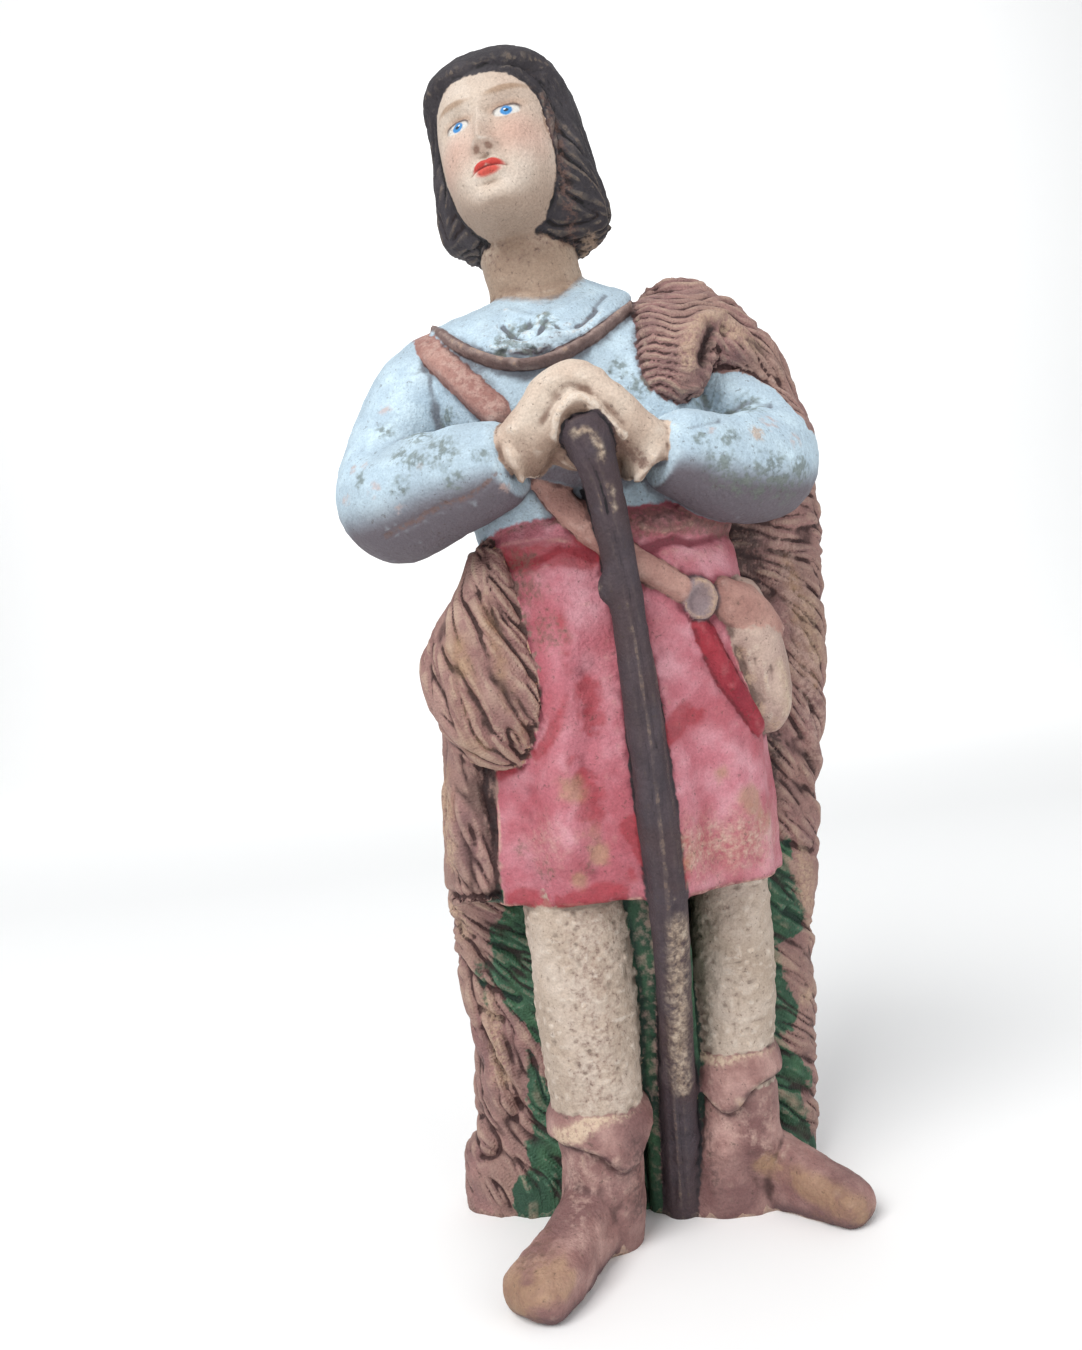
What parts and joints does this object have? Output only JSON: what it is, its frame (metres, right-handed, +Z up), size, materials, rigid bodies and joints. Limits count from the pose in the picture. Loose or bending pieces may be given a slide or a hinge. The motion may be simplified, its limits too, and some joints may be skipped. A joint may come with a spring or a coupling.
{
  "type": "nativity shepherd figurine",
  "caption": "Small hand-painted clay nativity shepherd who leans on a staff, in shirt, tunic, boots and a fleece cloak that falls to the ground behind the figure; stands on its flat underside.",
  "frame": {"origin": "on the ground, in the middle of the flat foot of the cloak, between the heels and the foot of the staff", "axes": "+Z up along the figure's height, -Y the way the figure faces, +X to the right of someone who looks at its face"},
  "size_m": [0.0497, 0.0318, 0.1182],
  "materials": {
    "painted_clay": "matt"
  },
  "bodies": {
    "root": {"shepherd_figurine": "painted_clay"}
  },
  "joints": []
}
